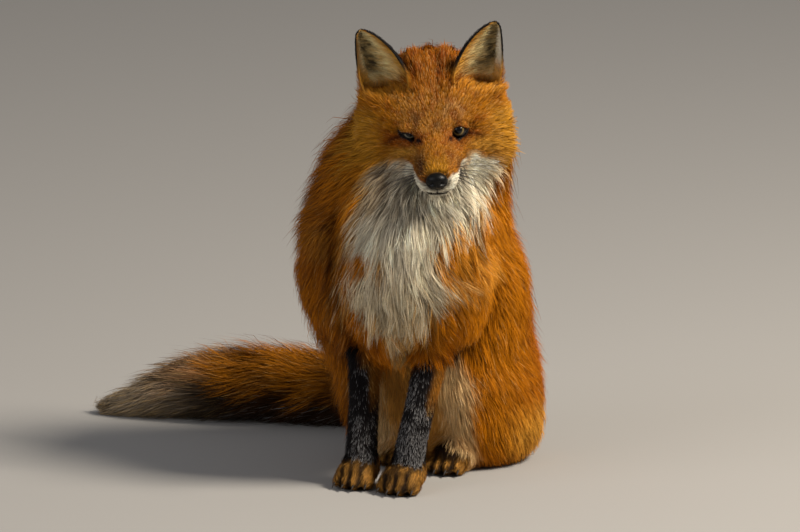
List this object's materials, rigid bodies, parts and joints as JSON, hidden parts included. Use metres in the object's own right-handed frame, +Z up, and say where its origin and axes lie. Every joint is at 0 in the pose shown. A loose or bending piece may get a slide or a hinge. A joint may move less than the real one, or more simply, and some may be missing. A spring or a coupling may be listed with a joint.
{
  "type": "red fox, sitting, as a museum model",
  "caption": "Life-size still model of a red fox in winter coat, sitting upright on its haunches with its head turned to its left and its brush laid out along the floor.",
  "frame": {"origin": "middle of the footprint's bounding box, on the floor", "axes": "+X to the fox's left, -Y the way its chest points, +Z up; the tail lies along -X and the head is turned towards +X"},
  "size_m": [0.5633, 0.3795, 0.5214],
  "materials": {
    "rust_coat": "soft dense fur, deep orange with darker and paler hair tips",
    "pale_coat": "long soft fur, cream white with grey roots",
    "dark_coat": "short dense fur, near black with silver flecks",
    "paw_coat": "very short fur, golden brown with dark stripes between the toes",
    "tail_tip_coat": "long fur, dirty white over grey-brown",
    "nose_skin": "moist pebbled skin, slight gloss",
    "eye_glass": "polished, amber iris with a dark pupil"
  },
  "bodies": {
    "root": {"nose": "nose_skin", "muzzle": "rust_coat", "lower_jaw": "pale_coat", "head": "rust_coat", "neck": "rust_coat", "trunk": "rust_coat", "rump": "rust_coat", "chest": "pale_coat", "tail_base": "rust_coat", "tail_middle": "rust_coat", "tail_tip": "tail_tip_coat", "ear_left": "pale_coat", "eye_left": "eye_glass", "upper_arm_left": "rust_coat", "forearm_left": "dark_coat", "forepaw_left": "paw_coat", "thigh_left": "rust_coat", "hind_foot_left": "paw_coat", "ear_right": "pale_coat", "eye_right": "eye_glass", "upper_arm_right": "rust_coat", "forearm_right": "dark_coat", "forepaw_right": "paw_coat", "thigh_right": "rust_coat", "hind_foot_right": "paw_coat"}
  },
  "joints": []
}
